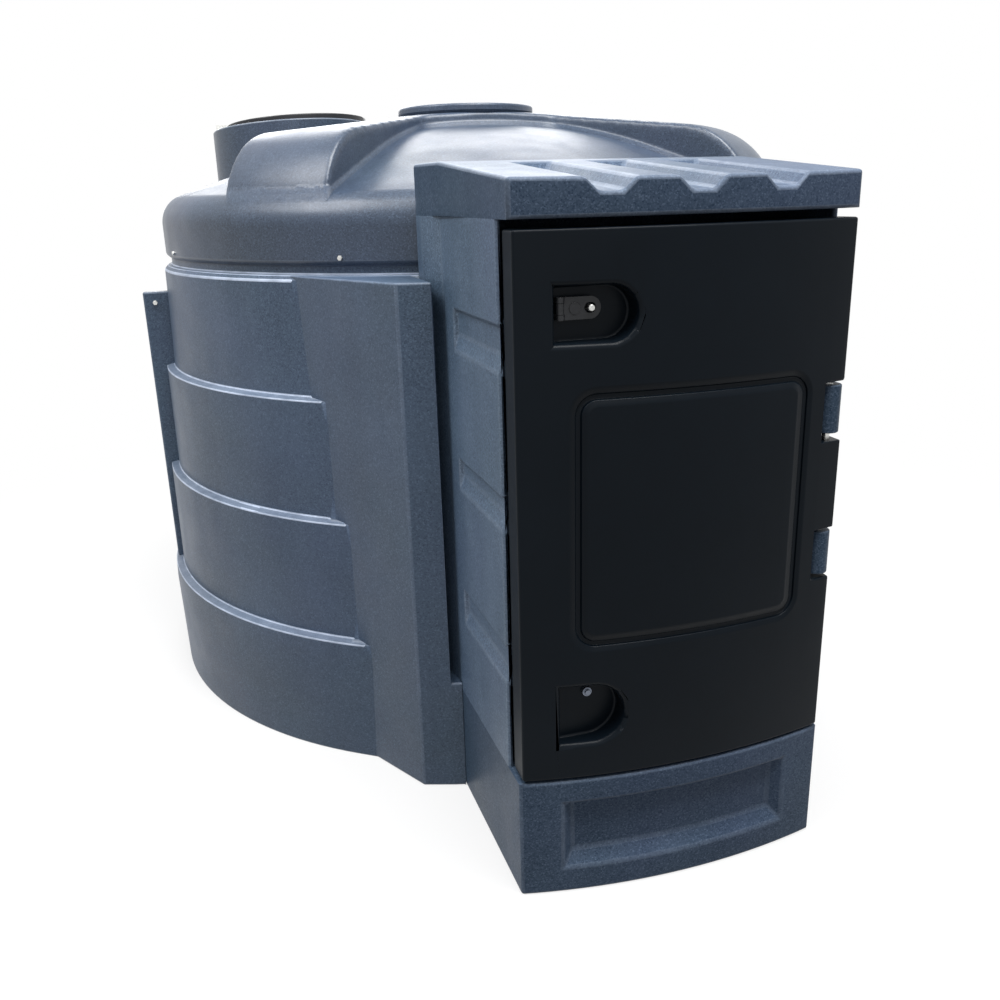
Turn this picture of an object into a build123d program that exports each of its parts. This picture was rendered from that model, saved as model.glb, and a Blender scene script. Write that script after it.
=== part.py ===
from build123d import *
from math import asin, atan2, cos, degrees, radians, sin, sqrt, tan
import os

os.makedirs("parts", exist_ok=True)

# Round bunded fuel tank with a dispensing cabinet on its front.
# Origin: on the floor, on the axis of the tank. The cabinet door faces -Y. Millimetres.

# Tank wall: widest at its parting line, then four tiers stepped in by ledges, a shoulder and a neck
base_radius = 1140.0
wall = 10.0
parting_height = 306.0
foot_flare = 7.0
tier_draft = 2.0
top_draft = 8.0
ledge_width = 25.0
ledge_height = 5.0
low_tier = 367.0
mid_tier = 349.0
high_tier = 337.0
top_tier = 324.0
shoulder_radius = 14.0
neck_inset = 107.0
neck_height = 25.0
floor_clearance = 1.0
waist_radius = base_radius + foot_flare
ledge_tops = (low_tier, low_tier + mid_tier, low_tier + mid_tier + high_tier)
shoulder_top = ledge_tops[2] + top_tier
neck_radius = base_radius - neck_inset
neck_top = shoulder_top + neck_height

# Side ribs, which hide the joints between the front and rear of the tank wall
rib_inset = 2.0
rib_thickness = 44.0
rib_headroom = 88.0
rib_bolt_inset = 36.0
rib_bolt_drop = 34.0
rib_bolt_radius = 8.0
rib_bolt_length = 9.0
rib_outer = base_radius - rib_inset
rib_top = shoulder_top - rib_headroom

# Cover: a spherical crown, a cone, a rounded shoulder and an upright skirt
skirt_inset = 92.0
skirt_lift = 22.0
skirt_height = 168.0
skirt_chamfer = 12.0
dome_slope = 18.4
crown_radius = 2225.0
dome_shoulder = 92.0
cover_thickness = 9.0
seat_clearance = 1.0
skirt_bolt_count = 8
skirt_bolt_span = 291.0
skirt_bolt_radius = 7.0
skirt_bolt_length = 6.0
skirt_bolt_lift = 22.0
skirt_radius = base_radius - skirt_inset
skirt_bottom = shoulder_top + skirt_lift
skirt_corner = skirt_bottom + skirt_height
crown_half = crown_radius * sin(radians(dome_slope))
crown_height = crown_radius * (1 - cos(radians(dome_slope)))
dome_top = skirt_corner + (skirt_radius - crown_half) * tan(radians(dome_slope)) + crown_height

# Ridges on the cover: two arms that run to the front corners from a round platform
arm_angle = 56.1
arm_width = 355.0
arm_kink_x = 222.0
arm_kink_round = 70.0
arm_end_inset = 63.0
arm_end_rise = 168.0
arm_end_round = 260.0
arm_toe_inset = 10.0
arm_toe_drop = 32.0
platform_front = 246.0
platform_flat = 240.0
platform_fall = 4.0
platform_rise = 30.0
platform_top = dome_top + platform_rise
arm_toe = skirt_corner - arm_toe_drop

# Manhole on the platform
manhole_x = -18.0
manhole_y = -16.0
manhole_radius = 230.0
manhole_boss_rise = 3.0
manhole_cap_height = 20.0
manhole_cap_round = 9.0
manhole_boss_top = platform_top + manhole_boss_rise

# Fill turret, its lid and the lid's hinge and hasp
turret_azimuth = 141.56
turret_edge_gap = 43.0
turret_radius = 281.0
turret_wall = 10.0
turret_rise = 21.0
turret_tilt = 4.2
turret_tilt_azimuth = -59.3
turret_ridge_gap = 12.0
rim_inset = 2.0
rim_lip = 30.0
lid_radius = 255.0
lid_shift = 24.0
lid_thickness = 30.0
lid_crown = 12.0
lid_gap = 0.3
lid_axis_gap = 18.0
lid_axis_up = 8.0
lid_barrel_radius = 7.0
lid_arm_thickness = 6.0
lid_knuckle_half = 20.0
lid_bracket_length = 18.0
lid_bracket_drop = 24.0
lid_bracket_foot = 20.0
lid_knuckle_gap = 1.0
lid_pin_radius = 3.0
hasp_reach = 36.0
hasp_half_width = 18.0
hasp_low = 3.0
hasp_thickness = 6.0
hasp_height = 26.0
hasp_hole_radius = 5.5
turret_reach = skirt_radius - turret_radius - turret_edge_gap
turret_x = turret_reach * cos(radians(turret_azimuth))
turret_y = turret_reach * sin(radians(turret_azimuth))
turret_rim_height = dome_top + turret_rise
lid_axis_out = turret_radius + lid_axis_gap
ear_offset = lid_knuckle_half + lid_knuckle_gap
bracket_reach = lid_axis_out + lid_barrel_radius + turret_ridge_gap
bracket_width = 2 * (ear_offset + lid_bracket_length + turret_ridge_gap)

# Cabinet: its bowed front is on a circle about the tank axis
cabinet_reach = 558.0
cabinet_half_width = 385.0
cabinet_widening = 10.0
cabinet_wall = 12.0
wall_middle = 4.0
back_side_gap = 6.0
cabinet_rear_gap = 20.0
back_clearance = 3.0
back_thickness = 8.0
plinth_height = 300.0
plinth_tail = 110.0
plinth_recess_depth = 28.0
plinth_recess_margin = 98.0
plinth_recess_low = 66.0
plinth_recess_drop = 59.0
plinth_recess_slope = 34.0
plinth_recess_lintel = 8.0
recess_depth = 11.0
recess_start = 86.0
recess_wall = 8.0
recess_slant = 3.0
recess_fall = 38.0
side_recess_lows = (218.0, 582.0, 922.0)
side_recess_heights = (92.0, 75.0, 96.0)
cabinet_front_radius = base_radius + cabinet_reach
cabinet_rear = base_radius + cabinet_rear_gap
cabinet_rear_half_width = cabinet_half_width + cabinet_widening
corner_y = sqrt(cabinet_front_radius**2 - cabinet_half_width**2)
back_plate = waist_radius + back_clearance
recess_rear = cabinet_rear + recess_start

# Hood: the rear of the cabinet, wider, let into a cut-out of the cover
hood_widening = 22.0
hood_bend_inset = 93.0
hood_rear_inset = 150.0
cover_gap = 13.0
hood_lip_clearance = 4.0
roof_rise = 76.0
roof_fall = 48.0
roof_edge = 72.0
roof_level_run = 50.0
channel_count = 3
channel_pitch = 188.0
channel_width = 102.0
channel_depth = 26.0
channel_slant = 28.0
channel_end = 95.0
channel_end_run = 50.0
channel_mouth_lift = 6.0
hood_half_width = cabinet_rear_half_width + hood_widening
hood_bend = base_radius - hood_bend_inset
hood_rear = base_radius - hood_rear_inset
roof_rear_top = skirt_corner + roof_rise
roof_front_top = roof_rear_top - roof_fall
door_opening_top = roof_front_top - roof_edge

# Wings between the tank wall and the cabinet, with a foot that closes the gap between them
wing_front_reach = 38.0
wing_front_gap = 8.0
wing_corner_reach = 10.0
wing_corner_gap = 91.0
wing_flank_angle = 28.6
wing_flank_run = 480.0
wing_drop = 2.0
wing_foot_lift = 18.0
wing_foot_reach = 8.0
wing_clearance = 1.0
wing_front_x = hood_half_width + wing_front_gap
wing_corner_x = hood_half_width + wing_corner_gap
wing_front_y = base_radius + wing_front_reach
wing_corner_y = base_radius + wing_corner_reach
wing_foot_height = plinth_height + wing_foot_lift
wing_top = shoulder_top - wing_drop

# Door: a bowed double-skinned panel with two hand recesses and a ring groove
door_left_gap = 8.0
door_right_gap = 2.0
door_foot_gap = 6.0
door_head_gap = 18.0
door_depth = 108.0
door_seat_gap = 12.0
door_skin_thickness = 8.0
door_liner_thickness = 6.0
door_liner_clearance = 0.3
groove_left_margin = 119.0
groove_right_margin = 108.0
groove_foot_margin = 326.0
groove_head_margin = 319.0
groove_corner = 45.0
groove_width = 12.0
groove_depth = 5.0
hand_depth = 58.0
upper_hand_margin = 80.0
upper_hand_width = 168.0
upper_hand_height = 110.0
upper_hand_drop = 108.0
lower_hand_margin = 86.0
lower_hand_width = 144.0
lower_hand_height = 140.0
lower_hand_lift = 88.0
door_left = -cabinet_half_width + door_left_gap
door_right = cabinet_half_width - door_right_gap
door_bottom = plinth_height + door_foot_gap
door_top = door_opening_top - door_head_gap
door_back = cabinet_front_radius - door_depth
cabinet_body_front = door_back - door_seat_gap
hand_floor = cabinet_front_radius - hand_depth

# Door hinge: knuckles on one pin, set back behind the bowed face
hinge_inset = 26.0
hinge_setback = 26.5
knuckle_radius = 26.0
knuckle_foot = 6.0
pin_radius = 8.0
pin_clearance = 0.3
knuckle_gap = 8.0
lower_knuckle_spacing = 9.0
upper_knuckle_spacing = 17.0
door_knuckle_length = 206.0
lower_knuckle_length = 104.0
upper_knuckle_length = 108.0
hinge_lift = 18.5
hinge_x = cabinet_half_width - hinge_inset
hinge_y = hinge_setback - sqrt(cabinet_front_radius**2 - hinge_x**2)
hinge_middle = (door_bottom + door_top) / 2 + hinge_lift
door_knuckle_low = hinge_middle - door_knuckle_length / 2
door_knuckle_high = hinge_middle + door_knuckle_length / 2
lower_knuckle_top = door_knuckle_low - lower_knuckle_spacing
upper_knuckle_foot = door_knuckle_high + upper_knuckle_spacing
lower_knuckle = (lower_knuckle_top - lower_knuckle_length, lower_knuckle_top)
upper_knuckle = (upper_knuckle_foot, upper_knuckle_foot + upper_knuckle_length)

# Latch: a flap on its own pin in the upper hand recess, over a staple
flap_margin = 7.0
flap_width = 93.0
flap_height = 45.0
flap_lift = 44.0
flap_thickness = 5.0
flap_standoff = 14.0
flap_boss_inset = 55.0
flap_boss_radius = 12.0
flap_boss_rise = 2.0
flap_axis_inset = 8.0
flap_hinge_radius = 8.0
flap_hinge_length = 11.0
flap_hinge_gap = 1.0
flap_pin_radius = 2.5
flap_pin_clearance = 0.3
staple_radius = 7.0
staple_length = 30.0
staple_tip = 2.0
staple_clearance = 3.0
staple_slot_play = 5.0
lower_bolt_rise = 109.0
lower_bolt_radius = 11.0
lower_bolt_flange = 8.0
lower_bolt_head = 5.0
lower_bolt_head_radius = 7.0


def radial_plane(angle):
    """Upright plane through the tank axis: local x is the radius, local y is the height."""
    a = radians(angle)
    return Plane(origin=(0, 0, 0), x_dir=(cos(a), sin(a), 0), z_dir=(sin(a), -cos(a), 0))


def front_plane(depth):
    """Upright plane at a distance in front of the tank axis, facing the viewer."""
    return Plane(origin=(0, -depth, 0), x_dir=(1, 0, 0), z_dir=(0, -1, 0))


def save(part, label):
    part.label = label
    export_step(part, "parts/" + label + ".step")


def mirrored(points):
    return [(-x, y) for x, y in points]


# Profile of the tank wall, from the floor to the top of the neck
def tier_points():
    radius = waist_radius
    points = [(base_radius, 0), (radius, parting_height)]
    for ledge_top in ledge_tops:
        points.append((radius - tier_draft, ledge_top - ledge_height))
        radius = radius - tier_draft - ledge_width
        points.append((radius, ledge_top))
    points.append((radius - top_draft, shoulder_top - shoulder_radius))
    points.append((radius - top_draft - shoulder_radius, shoulder_top))
    points.append((neck_radius, shoulder_top))
    points.append((neck_radius, neck_top))
    return points


def wall_quarter(angle):
    """A quarter of the tank wall, open at the top and bottom."""
    outer = tier_points()
    inner = [(radius - wall, height - wall) for radius, height in outer]
    inner[0] = (base_radius - wall, 0)
    inner[-1] = (neck_radius - wall, neck_top)
    with BuildPart() as quarter:
        with BuildSketch(radial_plane(angle)):
            with BuildLine():
                Polyline(*outer, *reversed(inner), close=True)
            make_face()
        revolve(axis=Axis.Z, revolution_arc=90)
    return quarter.part


with BuildPart(mode=Mode.PRIVATE) as tank_solid:
    with BuildSketch(radial_plane(0)):
        with BuildLine():
            Polyline((0, 0), *tier_points(), (0, neck_top), close=True)
        make_face()
    revolve(axis=Axis.Z)

# Tank floor, inside the foot of the wall
with BuildPart() as tank_floor:
    with BuildSketch(Plane.XY):
        Circle(base_radius - wall - floor_clearance)
    extrude(amount=wall)
save(tank_floor.part, "tank_floor")

# Tank wall in four quarters
quarters = ("wall_rear_right", "wall_rear_left", "wall_front_left", "wall_front_right")
for turn, label in enumerate(quarters):
    save(wall_quarter(90 * turn), label)

# Wings: upright boxes from the tank wall to the sides of the cabinet
flank = radians(wing_flank_angle)
wing_inner_x = cabinet_rear_half_width + wing_clearance
hood_side_x = hood_half_width + wing_clearance
wing_tail_y = wing_corner_y - wing_flank_run * cos(flank)
flank_end = (-wing_corner_x - wing_flank_run * sin(flank), -wing_tail_y)
wing_foot_outline = [
    (-wing_corner_x, -wing_corner_y),
    (-wing_front_x, -wing_front_y),
    (-wing_inner_x, -wing_front_y - wing_foot_reach),
    (-wing_inner_x, -cabinet_rear),
    (-hood_side_x, -hood_bend),
    (-hood_side_x, -wing_tail_y),
    flank_end,
]
wing_outline = [
    (-wing_corner_x, -wing_corner_y),
    (-wing_front_x, -wing_front_y),
    (-wing_front_x, -wing_tail_y),
    flank_end,
]
with BuildPart() as wing_left:
    with BuildSketch(Plane.XY):
        with BuildLine():
            Polyline(*wing_foot_outline, close=True)
        make_face()
    extrude(amount=wing_foot_height)
    with BuildSketch(Plane.XY.offset(wing_foot_height)):
        with BuildLine():
            Polyline(*wing_outline, close=True)
        make_face()
    extrude(amount=wing_top - wing_foot_height)
    add(tank_solid.part, mode=Mode.SUBTRACT)
save(wing_left.part, "wing_left")
with BuildPart() as wing_right:
    add(wing_left.part)
    mirror(about=Plane.YZ, mode=Mode.REPLACE)
save(wing_right.part, "wing_right")

# Side ribs, from the lowest ledge to below the shoulder
with BuildPart() as side_rib_left:
    with BuildSketch(Plane.XY.offset(low_tier)):
        with Locations((-rib_outer, 0)):
            Rectangle(rib_outer - neck_radius, rib_thickness, align=(Align.MIN, Align.CENTER))
    extrude(amount=rib_top - low_tier)
    add(tank_solid.part, mode=Mode.SUBTRACT)
save(side_rib_left.part, "side_rib_left")
with BuildPart() as side_rib_right:
    add(side_rib_left.part)
    mirror(about=Plane.YZ, mode=Mode.REPLACE)
save(side_rib_right.part, "side_rib_right")

# Rib bolts, one on the front face of each rib
with BuildPart() as rib_bolts:
    with BuildSketch(front_plane(rib_thickness / 2)):
        for side in (-1, 1):
            with Locations((side * (rib_outer - rib_bolt_inset), rib_top - rib_bolt_drop)):
                RegularPolygon(rib_bolt_radius, 6)
    extrude(amount=rib_bolt_length)
save(rib_bolts.part, "rib_bolts")


# Cover: the same outline gives its outer face and, shrunk by its thickness, its inner one
def cover_solid(shrink, bottom):
    slope = radians(dome_slope)
    radius = crown_radius - shrink
    top = dome_top - shrink
    half = radius * sin(slope)
    half_height = top - radius * (1 - cos(slope))
    rim = skirt_radius - shrink
    rim_height = half_height - (rim - half) * tan(slope)
    with BuildPart(mode=Mode.PRIVATE) as solid:
        with BuildSketch(radial_plane(0)) as section:
            with BuildLine():
                half_way = (radius * sin(slope / 2), top - radius * (1 - cos(slope / 2)))
                ThreePointArc((0, top), half_way, (half, half_height))
                Polyline((half, half_height), (rim, rim_height), (rim, bottom), (0, bottom), (0, top))
            make_face()
            fillet(section.vertices().group_by(Axis.X)[-1].sort_by(Axis.Y)[-1], dome_shoulder - shrink)
        revolve(axis=Axis.Z)
    return solid.part


cover_outside = cover_solid(0, skirt_bottom)
with BuildPart() as cover_dome:
    add(cover_outside)
    chamfer(cover_dome.edges().filter_by(GeomType.CIRCLE).group_by(Axis.Z)[0], skirt_chamfer)
    add(cover_solid(cover_thickness, neck_top + cover_thickness), mode=Mode.SUBTRACT)
    with BuildSketch(Plane.XY.offset(skirt_bottom)):
        Circle(neck_radius + seat_clearance)
    extrude(amount=neck_top - skirt_bottom, mode=Mode.SUBTRACT)
    with BuildSketch(Plane.XY.offset(skirt_bottom)):
        Circle(neck_radius - wall)
    extrude(amount=neck_top + 2 * cover_thickness - skirt_bottom, mode=Mode.SUBTRACT)
    with BuildSketch(Plane.XY.offset(skirt_bottom)):
        with Locations((0, -hood_rear + cover_gap)):
            Rectangle(2 * (hood_half_width + cover_gap), skirt_radius, align=(Align.CENTER, Align.MAX))
    extrude(amount=dome_top - skirt_bottom, mode=Mode.SUBTRACT)
save(cover_dome.part, "cover_dome")

# Ridges: the plan of the arms and platform, cut out of a low revolved form that lies over the dome
with BuildPart(mode=Mode.PRIVATE) as ridge_form:
    with BuildSketch(radial_plane(0)) as section:
        with BuildLine():
            Polyline(
                (0, arm_toe),
                (0, platform_top),
                (platform_flat, platform_top - platform_fall),
                (skirt_radius - arm_end_inset, skirt_corner + arm_end_rise),
                (skirt_radius - arm_toe_inset, arm_toe),
                close=True,
            )
        make_face()
        fillet(section.vertices().sort_by(Axis.X)[-2], arm_end_round)
    revolve(axis=Axis.Z)
arm_direction = radians(arm_angle)
arm_front_offset = arm_kink_x * sin(arm_direction) - platform_front * cos(arm_direction)
arm_rear_offset = arm_front_offset + arm_width


def arm_point(run, offset):
    """Point in plan beside the left arm: run is outwards along it, offset is towards its rear."""
    x = -run * cos(arm_direction) - offset * sin(arm_direction)
    y = -run * sin(arm_direction) + offset * cos(arm_direction)
    return (x, y)


arm_outline = [
    arm_point(0, arm_front_offset),
    arm_point(base_radius, arm_front_offset),
    arm_point(base_radius, arm_rear_offset),
    arm_point(0, arm_rear_offset),
]
bay_front = arm_point(base_radius, arm_front_offset)
kink_left = (-arm_kink_x, -platform_front)
kink_right = (arm_kink_x, -platform_front)
bay_outline = [kink_left, kink_right, (-bay_front[0], bay_front[1]), bay_front]
with BuildPart() as cover_ridge:
    with BuildSketch(Plane.XY.offset(arm_toe)) as plan:
        with BuildLine():
            Polyline(*arm_outline, close=True)
        make_face()
        with BuildLine():
            Polyline(*mirrored(arm_outline), close=True)
        make_face()
        Circle(arm_rear_offset)
        with BuildLine():
            Polyline(*bay_outline, close=True)
        make_face(mode=Mode.SUBTRACT)
        for side in (-1, 1):
            fillet(plan.vertices().sort_by_distance((side * arm_kink_x, -platform_front))[0], arm_kink_round)
        with Locations((turret_x, turret_y)):
            Circle(turret_radius + turret_ridge_gap, mode=Mode.SUBTRACT)
            Rectangle(bracket_reach, bracket_width, align=(Align.MIN, Align.CENTER), mode=Mode.SUBTRACT)
    extrude(amount=platform_top - arm_toe)
    add(ridge_form.part, mode=Mode.INTERSECT)
    add(cover_outside, mode=Mode.SUBTRACT)
save(cover_ridge.part, "cover_ridge")

# Manhole: a boss that levels the platform, and its cap
with BuildPart() as manhole_boss:
    with BuildSketch(Plane.XY.offset(dome_top)):
        with Locations((manhole_x, manhole_y)):
            Circle(manhole_radius)
    extrude(amount=manhole_boss_top - dome_top)
    add(ridge_form.part, mode=Mode.SUBTRACT)
save(manhole_boss.part, "manhole_boss")
with BuildPart() as manhole_cap:
    with BuildSketch(Plane.XY.offset(manhole_boss_top)):
        with Locations((manhole_x, manhole_y)):
            Circle(manhole_radius)
    extrude(amount=manhole_cap_height)
    fillet(manhole_cap.edges().group_by(Axis.Z)[-1], manhole_cap_round)
save(manhole_cap.part, "manhole_cap")

# Fill turret: a round wall on the dome, its rim tilted up towards the middle of the tank
tilt = radians(turret_tilt)
rise_x = tan(tilt) * cos(radians(turret_tilt_azimuth))
rise_y = tan(tilt) * sin(radians(turret_tilt_azimuth))
rim_centre = (turret_x, turret_y, turret_rim_height)
rim_plane = Plane(origin=rim_centre, x_dir=(1, 0, rise_x), z_dir=(-rise_x, -rise_y, 1))
lid_section = Plane(origin=rim_centre, x_dir=rim_plane.x_dir, z_dir=-rim_plane.y_dir)
turret_base = Plane(origin=(turret_x, turret_y, skirt_corner))
turret_full_height = turret_rim_height - skirt_corner + turret_radius
with BuildPart() as fill_turret:
    with BuildSketch(turret_base):
        Circle(turret_radius)
        Circle(turret_radius - turret_wall, mode=Mode.SUBTRACT)
    extrude(amount=turret_full_height)
    with BuildSketch(rim_plane):
        Circle(turret_radius - rim_inset)
        with Locations((lid_shift, 0)):
            Circle(lid_radius - rim_lip, mode=Mode.SUBTRACT)
    extrude(amount=-turret_wall)
    split(bisect_by=rim_plane, keep=Keep.BOTTOM)
    add(cover_outside, mode=Mode.SUBTRACT)
save(fill_turret.part, "fill_turret")

# Fill lid: a thin crowned disc, its hinge knuckle towards the middle of the tank
crown = (lid_radius**2 + lid_crown**2) / (2 * lid_crown)
with BuildPart(rim_plane.offset(lid_gap)) as fill_lid:
    with Locations((lid_shift, 0, 0)):
        Cylinder(lid_radius, lid_thickness, align=(Align.CENTER, Align.CENTER, Align.MIN))
    with Locations((lid_shift, 0, lid_thickness - crown)):
        Sphere(crown, mode=Mode.INTERSECT)
save(fill_lid.part, "fill_lid")
with BuildPart() as fill_lid_knuckle:
    with BuildSketch(lid_section):
        with Locations((lid_axis_out, lid_axis_up)):
            Circle(lid_barrel_radius)
            arm_length = lid_axis_out - lid_radius - lid_shift
            Rectangle(arm_length, lid_arm_thickness, align=(Align.MAX, Align.CENTER))
            Circle(lid_pin_radius + pin_clearance, mode=Mode.SUBTRACT)
    extrude(amount=lid_knuckle_half, both=True)
save(fill_lid_knuckle.part, "fill_lid_knuckle")

# Lid hinge bracket: two ears on the turret's side, with the pin between them
with BuildPart() as fill_hinge_bracket:
    for side in (-1, 1):
        with BuildSketch(lid_section.offset(side * ear_offset)):
            with Locations((lid_axis_out, lid_axis_up)):
                Circle(lid_barrel_radius)
                ear_size = (2 * lid_barrel_radius, lid_axis_up + lid_bracket_drop)
                Rectangle(*ear_size, align=(Align.CENTER, Align.MAX))
            with Locations((lid_axis_out, -lid_bracket_drop)):
                Rectangle(lid_axis_gap + lid_barrel_radius, lid_bracket_foot, align=(Align.MAX, Align.MIN))
        extrude(amount=side * lid_bracket_length)
    with BuildSketch(lid_section.offset(-ear_offset - lid_bracket_length)):
        with Locations((lid_axis_out, lid_axis_up)):
            Circle(lid_pin_radius)
    extrude(amount=2 * (ear_offset + lid_bracket_length))
    with BuildSketch(turret_base):
        Circle(turret_radius)
    extrude(amount=turret_full_height, mode=Mode.SUBTRACT)
save(fill_hinge_bracket.part, "fill_hinge_bracket")

# Hasp: a plate on the lid's outer edge, with an upright ear that a padlock goes through
hasp_inner = lid_radius - lid_shift
with BuildPart() as fill_lid_hasp:
    with BuildSketch(lid_section):
        with Locations((-hasp_inner, hasp_low)):
            Rectangle(hasp_reach, hasp_thickness, align=(Align.MAX, Align.MIN))
    extrude(amount=hasp_half_width, both=True)
    with BuildSketch(lid_section.offset(-hasp_thickness / 2)):
        with Locations((-hasp_inner - hasp_reach / 2, hasp_low + hasp_height / 2)):
            Rectangle(hasp_reach, hasp_height)
            Circle(hasp_hole_radius, mode=Mode.SUBTRACT)
    extrude(amount=hasp_thickness)
save(fill_lid_hasp.part, "fill_lid_hasp")


# Cabinet outlines in plan
def front_arc(radius, left, right):
    """Bowed front line from left to right on a circle about the tank axis."""
    middle = (left + right) / 2
    points = [(x, -sqrt(radius**2 - x**2)) for x in (left, middle, right)]
    return ThreePointArc(*points)


def side_x(y, inset=0.0):
    """Half width of the cabinet at a depth y, a little wider to the rear."""
    share = (corner_y - y) / (corner_y - cabinet_rear)
    return cabinet_half_width + cabinet_widening * share - inset


def side_points(front_y, inset=0.0):
    """Right side of the cabinet from a front depth back to the end of the hood."""
    return [
        (side_x(front_y, inset), -front_y),
        (side_x(cabinet_rear, inset), -cabinet_rear),
        (hood_half_width - inset, -hood_bend),
        (hood_half_width - inset, -hood_rear),
    ]


# Cabinet side walls, each with three pressed recesses that run out at the front edge
recess_bands = []
for low, height in zip(side_recess_lows, side_recess_heights):
    recess_bands.append((plinth_height + low, plinth_height + low + height))
side_lean = atan2(cabinet_widening, corner_y - cabinet_rear)
recess_origin = (side_x(recess_rear), -recess_rear, 0)
recess_heading = (-sin(side_lean), -cos(side_lean), 0)
recess_plane = Plane(origin=recess_origin, x_dir=(cos(side_lean), -sin(side_lean), 0), z_dir=recess_heading)
recess_back = recess_depth + recess_wall
with BuildPart() as side_panel:
    with BuildSketch(Plane.XY.offset(plinth_height)):
        with BuildLine():
            inner_points = side_points(cabinet_body_front, cabinet_wall)
            Polyline(*side_points(cabinet_body_front), *reversed(inner_points), close=True)
        make_face()
    extrude(amount=door_opening_top - plinth_height)
    for low, high in recess_bands:
        with BuildSketch(Plane.XY.offset(low - cabinet_wall)):
            with BuildLine():
                Polyline(
                    (side_x(recess_rear, wall_middle), -recess_rear + cabinet_wall),
                    (side_x(recess_rear, recess_back), -recess_rear + cabinet_wall),
                    (side_x(cabinet_body_front, recess_back), -cabinet_body_front),
                    (side_x(cabinet_body_front, wall_middle), -cabinet_body_front),
                    close=True,
                )
            make_face()
        extrude(amount=high - low + 2 * cabinet_wall)
    for low, high in recess_bands:
        with BuildSketch(recess_plane):
            with BuildLine():
                Polyline(
                    (recess_depth, low - recess_fall),
                    (recess_depth, high + recess_slant),
                    (-recess_depth, high - recess_slant),
                    (-recess_depth, low + recess_fall),
                    close=True,
                )
            make_face()
        extrude(amount=2 * (cabinet_body_front - recess_rear), mode=Mode.SUBTRACT)
    add(tank_solid.part, mode=Mode.SUBTRACT)
with BuildPart() as side_panel_mirrored:
    add(side_panel.part)
    mirror(about=Plane.YZ, mode=Mode.REPLACE)
save(side_panel.part, "cabinet_side_right")
save(side_panel_mirrored.part, "cabinet_side_left")

# Cabinet back plate, in front of the tank wall
with BuildPart() as cabinet_back:
    with BuildSketch(Plane.XY.offset(plinth_height)):
        with Locations((0, -back_plate)):
            back_width = 2 * (side_x(back_plate, cabinet_wall) - back_side_gap)
            Rectangle(back_width, back_thickness, align=(Align.CENTER, Align.MAX))
    extrude(amount=door_opening_top - plinth_height)
save(cabinet_back.part, "cabinet_back")

# Plinth: a hollow foot, open below, whose top is the cabinet floor
plinth_inner_radius = cabinet_front_radius - cabinet_wall - plinth_recess_depth
plinth_inner_half = cabinet_half_width - cabinet_wall
plinth_inner_y = sqrt(plinth_inner_radius**2 - plinth_inner_half**2)
plinth_side = [
    (cabinet_half_width, -corner_y),
    (side_x(cabinet_rear), -cabinet_rear),
    (side_x(cabinet_rear), plinth_tail - cabinet_rear),
]
hollow_side = [(plinth_inner_half, -plinth_inner_y), (plinth_inner_half, -back_plate - cabinet_wall)]
plinth_recess_top = plinth_height - plinth_recess_drop
recess_floor_radius = cabinet_front_radius - plinth_recess_depth
recess_mouth_radius = cabinet_front_radius + plinth_recess_depth
recess_half = cabinet_half_width - plinth_recess_margin
recess_corner_y = sqrt(cabinet_front_radius**2 - recess_half**2)
recess_end_slope = atan2(plinth_recess_slope, plinth_recess_depth)
recess_bow = cabinet_front_radius - recess_corner_y
recess_start_half = recess_half + recess_bow * tan(recess_end_slope)
recess_swing = 2 * degrees(asin(recess_half / cabinet_front_radius))
with BuildPart(mode=Mode.PRIVATE) as plinth_recess:
    with BuildSketch(radial_plane(-90 - recess_swing)):
        with BuildLine():
            Polyline(
                (recess_floor_radius, plinth_recess_low + plinth_recess_slope),
                (recess_mouth_radius, plinth_recess_low - plinth_recess_slope),
                (recess_mouth_radius, plinth_recess_top + plinth_recess_lintel),
                (recess_floor_radius, plinth_recess_top - plinth_recess_lintel),
                close=True,
            )
        make_face()
    revolve(axis=Axis.Z, revolution_arc=2 * recess_swing)
    with BuildSketch(Plane(origin=(0, -cabinet_front_radius, 0), x_dir=(1, 0, 0), z_dir=(0, 1, 0))):
        Rectangle(2 * recess_start_half, 4 * plinth_height)
    recess_run = recess_bow + plinth_recess_depth
    extrude(amount=recess_run, taper=degrees(recess_end_slope), mode=Mode.INTERSECT)
with BuildPart() as cabinet_plinth:
    with BuildSketch(Plane.XY):
        with BuildLine():
            front_arc(cabinet_front_radius, -cabinet_half_width, cabinet_half_width)
            Polyline(*plinth_side, *reversed(mirrored(plinth_side)))
        make_face()
    extrude(amount=plinth_height)
    with BuildSketch(Plane.XY):
        with BuildLine():
            front_arc(plinth_inner_radius, -plinth_inner_half, plinth_inner_half)
            Polyline(*hollow_side, *reversed(mirrored(hollow_side)))
        make_face()
    extrude(amount=plinth_height - cabinet_wall, mode=Mode.SUBTRACT)
    add(plinth_recess.part, mode=Mode.SUBTRACT)
    add(tank_solid.part, mode=Mode.SUBTRACT)
save(cabinet_plinth.part, "cabinet_plinth")

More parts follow.
